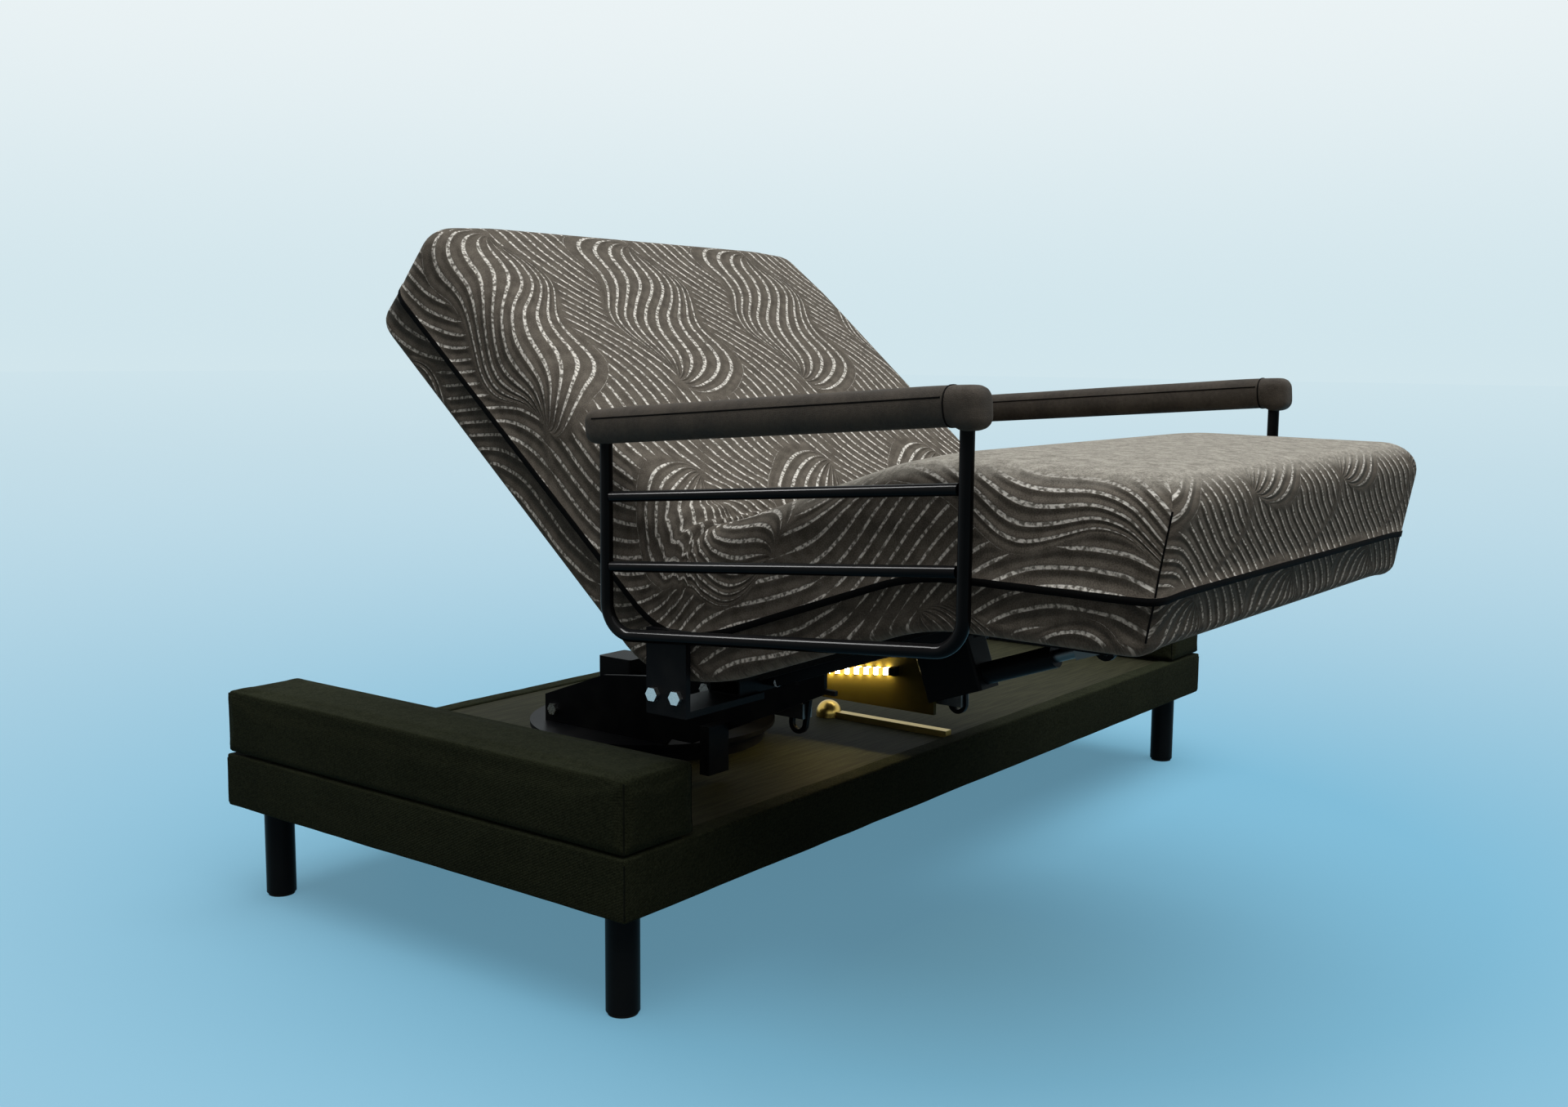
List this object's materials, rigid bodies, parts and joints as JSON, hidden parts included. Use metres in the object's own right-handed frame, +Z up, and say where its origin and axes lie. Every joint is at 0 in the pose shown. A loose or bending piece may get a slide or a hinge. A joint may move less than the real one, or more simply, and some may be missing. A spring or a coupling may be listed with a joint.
{
  "type": "adjustable bed base",
  "caption": "Rotating adjustable bed: upholstered base on round legs, a swivel, and a mattress platform with raised back, bent knee, side rails and padded armrests.",
  "frame": {"origin": "centre of the whole object's box, on the floor", "axes": "+X along the base towards its right end, +Y away from the mattress's foot end, +Z up"},
  "size_m": [2.03, 1.7178, 1.1735],
  "materials": {
    "base_fabric": "matte weave",
    "base_board": "black painted",
    "platform_board": "black felt-faced",
    "leg_black": "satin",
    "glide": "matte",
    "bright_steel": "bright zinc",
    "black_steel": "black powder coat",
    "rail_enamel": "gloss black",
    "armrest_leather": "satin grained",
    "drive_plastic": "matte",
    "rod_steel": "ground",
    "light_lens": "warm translucent",
    "stop_rubber": "satin",
    "stop_steel": "satin black",
    "ticking": "knit with raised wave lines"
  },
  "bodies": {
    "base": {"near_side_rail": "base_fabric", "far_side_rail": "base_fabric", "left_end_rail": "base_fabric", "right_end_rail": "base_fabric", "deck_panel": "base_board", "deck_beams": "base_board", "corner_blocks": "base_board", "leg_near_left": "leg_black", "leg_near_right": "leg_black", "leg_far_left": "leg_black", "leg_far_right": "leg_black", "leg_studs": "bright_steel", "leg_glides": "glide", "left_bolster": "base_fabric", "right_bolster": "base_fabric", "control_box": "drive_plastic", "swivel_lower_ring": "black_steel", "swivel_hub": "black_steel", "turn_stop_bumper": "stop_rubber", "turn_stop_bar": "stop_steel"},
    "turntable": {"swivel_upper_ring": "black_steel", "turntable_plate": "black_steel", "swivel_motor": "drive_plastic", "pedestal_near_plate": "black_steel", "pedestal_far_plate": "black_steel", "pedestal_spacers": "black_steel", "pedestal_bolts": "bright_steel", "stop_lug": "black_steel", "seat_beam": "black_steel", "seat_deck": "platform_board", "hinge_ears": "black_steel", "hinge_pins": "bright_steel", "rail_brackets": "black_steel", "bracket_bolts": "bright_steel", "near_rail_tube": "rail_enamel", "far_rail_tube": "rail_enamel", "rail_bars": "rail_enamel", "near_armrest": "armrest_leather", "far_armrest": "armrest_leather", "light_strip": "light_lens", "light_clip": "drive_plastic", "back_actuator": "drive_plastic", "thigh_actuator": "drive_plastic", "mattress_hip": "ticking"},
    "back": {"back_frame": "black_steel", "back_deck": "platform_board", "mattress_back": "ticking"},
    "thigh": {"thigh_frame": "black_steel", "thigh_deck": "platform_board", "knee_pins": "bright_steel", "foot_actuator": "drive_plastic", "mattress_thigh": "ticking", "mattress_knee": "ticking"},
    "foot": {"foot_frame": "black_steel", "foot_deck": "platform_board", "mattress_foot": "ticking"},
    "back_rod": {"back_rod": "rod_steel"},
    "thigh_rod": {"thigh_rod": "rod_steel"},
    "foot_rod": {"foot_rod": "rod_steel"}
  },
  "joints": [
    {"name": "swivel", "type": "hinge", "parent": "base", "child": "turntable", "pos_m": [-0.42, 0.3764, 0], "axis": [0, 0, 1], "range_deg": [0, 90]},
    {"name": "back_hinge", "type": "hinge", "parent": "turntable", "child": "back", "pos_m": [-0.42, -0.03259, 0.483], "axis": [1, 0, 0], "range_deg": [-41, 24], "deforming": ["mattress_hip"]},
    {"name": "thigh_hinge", "type": "hinge", "parent": "turntable", "child": "thigh", "pos_m": [-0.42, -0.17259, 0.483], "axis": [-1, 0, 0], "range_deg": [-19.3, 14.7], "deforming": ["mattress_hip"]},
    {"name": "knee_hinge", "type": "hinge", "parent": "thigh", "child": "foot", "pos_m": [-0.42, -0.52652, 0.60694], "axis": [1, 0, 0], "range_deg": [-20, 15], "deforming": ["mattress_knee"]},
    {"name": "back_rod_slide", "type": "slide", "parent": "turntable", "child": "back_rod", "axis": [0, 1, 0], "range_m": [-0.0875, 0.0512]},
    {"name": "thigh_rod_slide", "type": "slide", "parent": "turntable", "child": "thigh_rod", "axis": [0, -1, 0], "range_m": [-0.0392, 0.03]},
    {"name": "foot_rod_slide", "type": "slide", "parent": "thigh", "child": "foot_rod", "axis": [0, 0.9438, -0.3305], "range_m": [-0.026, 0.0195]}
  ],
  "couplings": [
    {"joint": "back_rod_slide", "follows": "back_hinge", "m_per_rad": 0.12},
    {"joint": "thigh_rod_slide", "follows": "thigh_hinge", "m_per_rad": 0.1143},
    {"joint": "foot_rod_slide", "follows": "knee_hinge", "m_per_rad": 0.07226}
  ]
}
